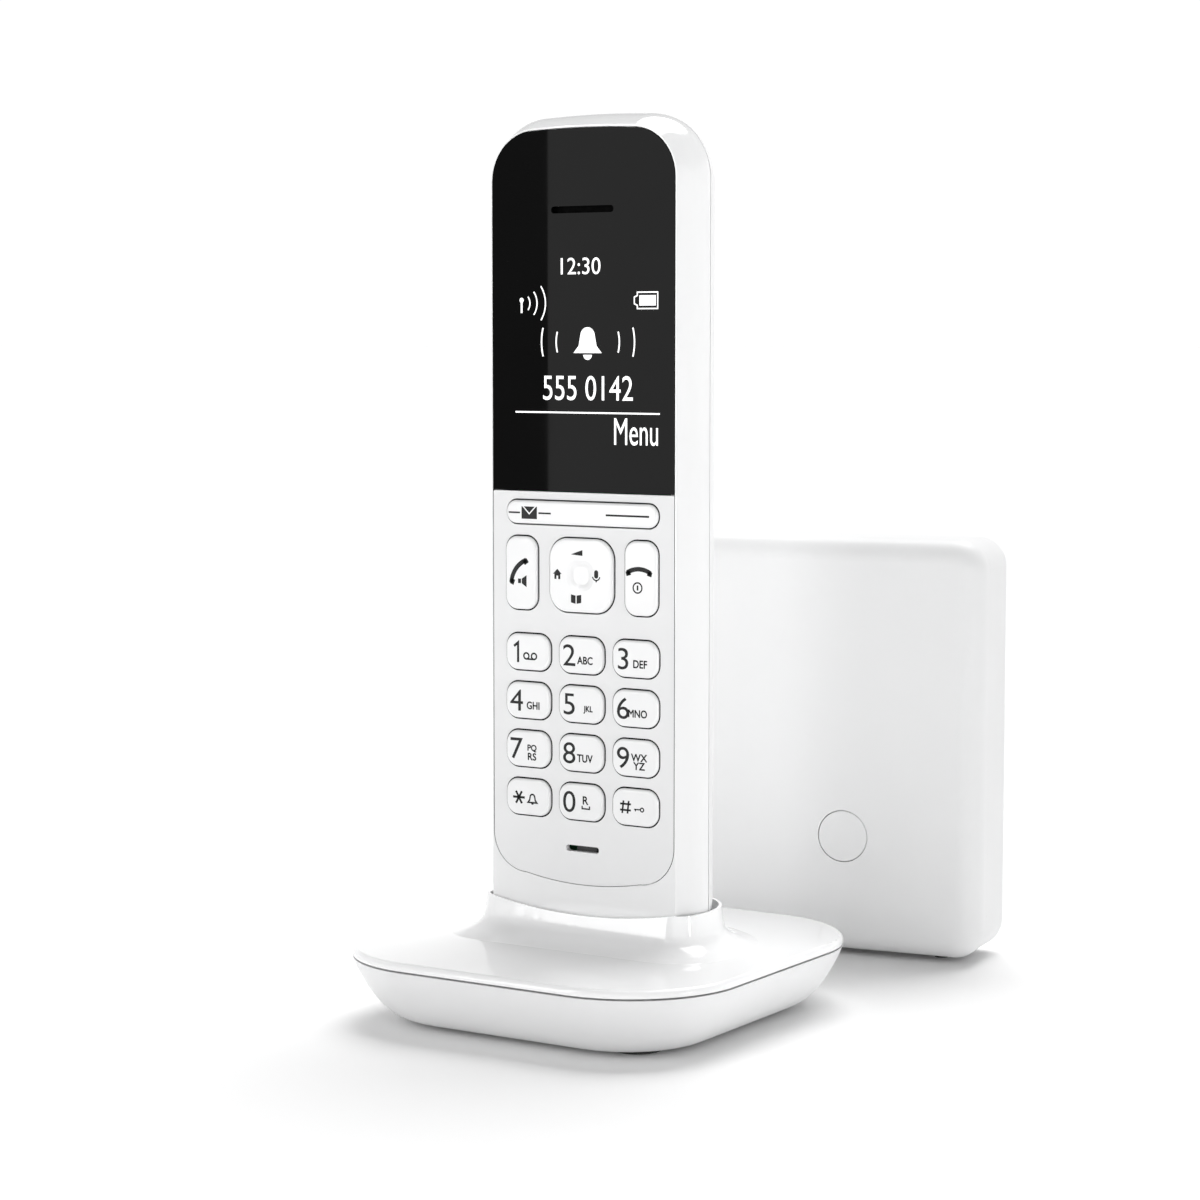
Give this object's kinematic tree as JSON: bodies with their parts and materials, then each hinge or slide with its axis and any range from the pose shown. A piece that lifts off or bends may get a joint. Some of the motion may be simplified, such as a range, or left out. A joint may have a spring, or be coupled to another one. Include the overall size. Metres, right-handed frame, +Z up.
{
  "type": "cordless phone with base",
  "caption": "Upright cordless handset with a black display window and a raised keypad, standing in a square charging cradle, with a separate box-shaped base station.",
  "frame": {"origin": "on the table, under the middle of the whole set's outline: the handset's cradle in front and the base station behind it", "axes": "+Z up from the table, +Y to the back, +X to the right as seen from the front of the handset"},
  "size_m": [0.0839, 0.1342, 0.1704],
  "materials": {
    "gloss_white_plastic": "high gloss",
    "cradle_gloss_plastic": "high gloss",
    "satin_white_plastic": "fine satin",
    "panel_plastic": "satin",
    "key_plastic": "soft gloss",
    "window_black": "mirror gloss",
    "display_black": "smooth",
    "silicone": "matt",
    "foot_rubber": "matt",
    "steel": "bright",
    "gold_plate": "polished",
    "board_green": "solder mask",
    "black_plastic": "fine grain",
    "gauze": "fine mesh",
    "battery_wrap": "printed film",
    "base_plastic": "fine matt",
    "pivot_plastic": "smooth"
  },
  "bodies": {
    "cradle": {"cradle_top_cover": "cradle_gloss_plastic", "cradle_lower_shell": "satin_white_plastic", "cradle_feet": "foot_rubber", "cradle_screws": "steel", "cradle_ballast": "steel", "cradle_circuit_board": "board_green", "cradle_power_socket": "black_plastic"},
    "handset": {"handset_front_frame": "gloss_white_plastic", "handset_rear_shell": "satin_white_plastic", "display_window": "window_black", "keypad_panel": "panel_plastic", "keypad_membrane": "silicone", "key_domes": "steel", "handset_circuit_board": "board_green", "handset_shield_cans": "steel", "display_module": "display_black", "earpiece_capsule": "black_plastic", "earpiece_gauze": "gauze", "microphone_capsule": "black_plastic", "battery_cells": "battery_wrap", "battery_contacts": "steel", "hands_free_speaker": "black_plastic", "handset_screws": "steel", "handset_charge_pads": "gold_plate"},
    "battery_cover": {"battery_cover": "satin_white_plastic"},
    "base_station": {"base_front_cover": "base_plastic", "base_rear_shell": "base_plastic", "base_screws": "steel", "base_feet": "foot_rubber", "paging_switch": "black_plastic", "base_circuit_board": "board_green", "base_shield_can": "steel", "base_antennas": "steel", "base_line_socket": "black_plastic", "base_power_socket": "black_plastic"},
    "paging_button": {"paging_button": "base_plastic"},
    "cradle_contact_left": {"cradle_contact_left": "steel"},
    "cradle_contact_right": {"cradle_contact_right": "steel"},
    "navigation_pivot": {"navigation_plunger": "pivot_plastic"},
    "navigation_key": {"navigation_key": "key_plastic"},
    "softkey_bar": {"softkey_bar": "key_plastic"},
    "key_1": {"key_1": "key_plastic"},
    "key_2": {"key_2": "key_plastic"},
    "key_3": {"key_3": "key_plastic"},
    "key_4": {"key_4": "key_plastic"},
    "key_5": {"key_5": "key_plastic"},
    "key_6": {"key_6": "key_plastic"},
    "key_7": {"key_7": "key_plastic"},
    "key_8": {"key_8": "key_plastic"},
    "key_9": {"key_9": "key_plastic"},
    "key_star": {"key_star": "key_plastic"},
    "key_0": {"key_0": "key_plastic"},
    "key_hash": {"key_hash": "key_plastic"},
    "talk_key": {"talk_key": "key_plastic"},
    "end_key": {"end_key": "key_plastic"}
  },
  "joints": [
    {"name": "handset_lift", "type": "slide", "parent": "cradle", "child": "handset", "axis": [0, 0, 1], "range_m": [0, 0.06]},
    {"name": "base_station_lift", "type": "slide", "parent": "cradle", "child": "base_station", "axis": [0, 0, 1], "range_m": [0, 0.1]},
    {"name": "battery_cover_off", "type": "slide", "parent": "handset", "child": "battery_cover", "axis": [0, 1, 0], "range_m": [0, 0.02]},
    {"name": "paging_button_press", "type": "slide", "parent": "base_station", "child": "paging_button", "axis": [-0.1392, 0.9903, 0], "range_m": [0, 0.0006], "stiffness_N_per_m": 300},
    {"name": "softkey_rock", "type": "hinge", "parent": "handset", "child": "softkey_bar", "pos_m": [-0.00193, -0.03064, 0.0958], "axis": [0, 0, 1], "range_deg": [-1.9, 1.9], "stiffness_Nm_per_rad": 0.02},
    {"name": "navigation_up_down", "type": "hinge", "parent": "handset", "child": "navigation_pivot", "pos_m": [-0.00193, -0.03064, 0.0842], "axis": [1, 0, 0], "range_deg": [-2.4, 2.4], "stiffness_Nm_per_rad": 0.02},
    {"name": "navigation_left_right", "type": "hinge", "parent": "navigation_pivot", "child": "navigation_key", "pos_m": [-0.00193, -0.03064, 0.0842], "axis": [0, 0, 1], "range_deg": [-2.4, 2.4], "stiffness_Nm_per_rad": 0.02},
    {"name": "contact_left_give", "type": "slide", "parent": "cradle", "child": "cradle_contact_left", "axis": [0, 0, 1], "range_m": [-0.0008, 0], "stiffness_N_per_m": 300},
    {"name": "contact_right_give", "type": "slide", "parent": "cradle", "child": "cradle_contact_right", "axis": [0, 0, 1], "range_m": [-0.0008, 0], "stiffness_N_per_m": 300},
    {"name": "key_1_press", "type": "slide", "parent": "handset", "child": "key_1", "axis": [0, 1, 0], "range_m": [0, 0.0006], "stiffness_N_per_m": 200},
    {"name": "key_2_press", "type": "slide", "parent": "handset", "child": "key_2", "axis": [0, 1, 0], "range_m": [0, 0.0006], "stiffness_N_per_m": 200},
    {"name": "key_3_press", "type": "slide", "parent": "handset", "child": "key_3", "axis": [0, 1, 0], "range_m": [0, 0.0006], "stiffness_N_per_m": 200},
    {"name": "key_4_press", "type": "slide", "parent": "handset", "child": "key_4", "axis": [0, 1, 0], "range_m": [0, 0.0006], "stiffness_N_per_m": 200},
    {"name": "key_5_press", "type": "slide", "parent": "handset", "child": "key_5", "axis": [0, 1, 0], "range_m": [0, 0.0006], "stiffness_N_per_m": 200},
    {"name": "key_6_press", "type": "slide", "parent": "handset", "child": "key_6", "axis": [0, 1, 0], "range_m": [0, 0.0006], "stiffness_N_per_m": 200},
    {"name": "key_7_press", "type": "slide", "parent": "handset", "child": "key_7", "axis": [0, 1, 0], "range_m": [0, 0.0006], "stiffness_N_per_m": 200},
    {"name": "key_8_press", "type": "slide", "parent": "handset", "child": "key_8", "axis": [0, 1, 0], "range_m": [0, 0.0006], "stiffness_N_per_m": 200},
    {"name": "key_9_press", "type": "slide", "parent": "handset", "child": "key_9", "axis": [0, 1, 0], "range_m": [0, 0.0006], "stiffness_N_per_m": 200},
    {"name": "key_star_press", "type": "slide", "parent": "handset", "child": "key_star", "axis": [0, 1, 0], "range_m": [0, 0.0006], "stiffness_N_per_m": 200},
    {"name": "key_0_press", "type": "slide", "parent": "handset", "child": "key_0", "axis": [0, 1, 0], "range_m": [0, 0.0006], "stiffness_N_per_m": 200},
    {"name": "key_hash_press", "type": "slide", "parent": "handset", "child": "key_hash", "axis": [0, 1, 0], "range_m": [0, 0.0006], "stiffness_N_per_m": 200},
    {"name": "talk_key_press", "type": "slide", "parent": "handset", "child": "talk_key", "axis": [0, 1, 0], "range_m": [0, 0.0006], "stiffness_N_per_m": 200},
    {"name": "end_key_press", "type": "slide", "parent": "handset", "child": "end_key", "axis": [0, 1, 0], "range_m": [0, 0.0006], "stiffness_N_per_m": 200}
  ]
}
